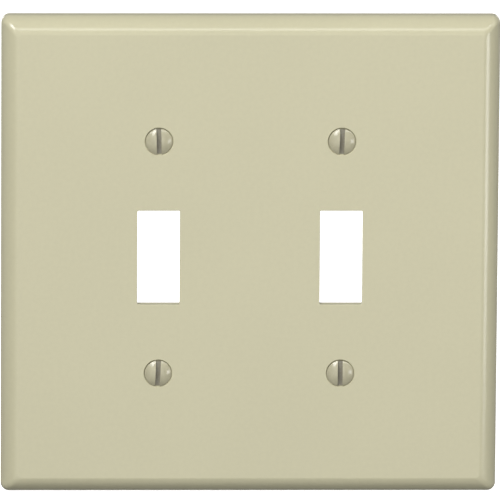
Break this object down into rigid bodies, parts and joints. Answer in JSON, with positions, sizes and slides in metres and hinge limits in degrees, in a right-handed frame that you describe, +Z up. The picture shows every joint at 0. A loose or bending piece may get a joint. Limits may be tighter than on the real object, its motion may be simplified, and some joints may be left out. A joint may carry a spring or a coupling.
{
  "type": "two-gang toggle wall plate",
  "caption": "Square cover plate with rounded edges, upright toggle openings and slotted oval-head mounting screws in countersunk holes; hollow ribbed back.",
  "frame": {"origin": "centre of the wall plane, the plane of the plate's back rim", "axes": "+X to the right seen from the front, +Z up as on the wall, +Y into the wall; the face looks towards -Y"},
  "size_m": [0.1254, 0.0138, 0.1238],
  "materials": {
    "ivory_plastic": "moulded thermoset, satin gloss",
    "ivory_enamel": "baked enamel on a zinc-plated steel screw"
  },
  "bodies": {
    "plate": {"wall_plate": "ivory_plastic"},
    "screw_top_left": {"screw_top_left": "ivory_enamel"},
    "screw_top_right": {"screw_top_right": "ivory_enamel"},
    "screw_bottom_left": {"screw_bottom_left": "ivory_enamel"},
    "screw_bottom_right": {"screw_bottom_right": "ivory_enamel"}
  },
  "joints": [
    {"name": "screw_top_left_turn", "type": "hinge", "parent": "plate", "child": "screw_top_left", "pos_m": [-0.02301, -0.0065, 0.03017], "axis": [0, 1, 0], "continuous": true},
    {"name": "screw_top_right_turn", "type": "hinge", "parent": "plate", "child": "screw_top_right", "pos_m": [0.02301, -0.0065, 0.03017], "axis": [0, 1, 0], "continuous": true},
    {"name": "screw_bottom_left_turn", "type": "hinge", "parent": "plate", "child": "screw_bottom_left", "pos_m": [-0.02301, -0.0065, -0.03017], "axis": [0, 1, 0], "continuous": true},
    {"name": "screw_bottom_right_turn", "type": "hinge", "parent": "plate", "child": "screw_bottom_right", "pos_m": [0.02301, -0.0065, -0.03017], "axis": [0, 1, 0], "continuous": true}
  ]
}
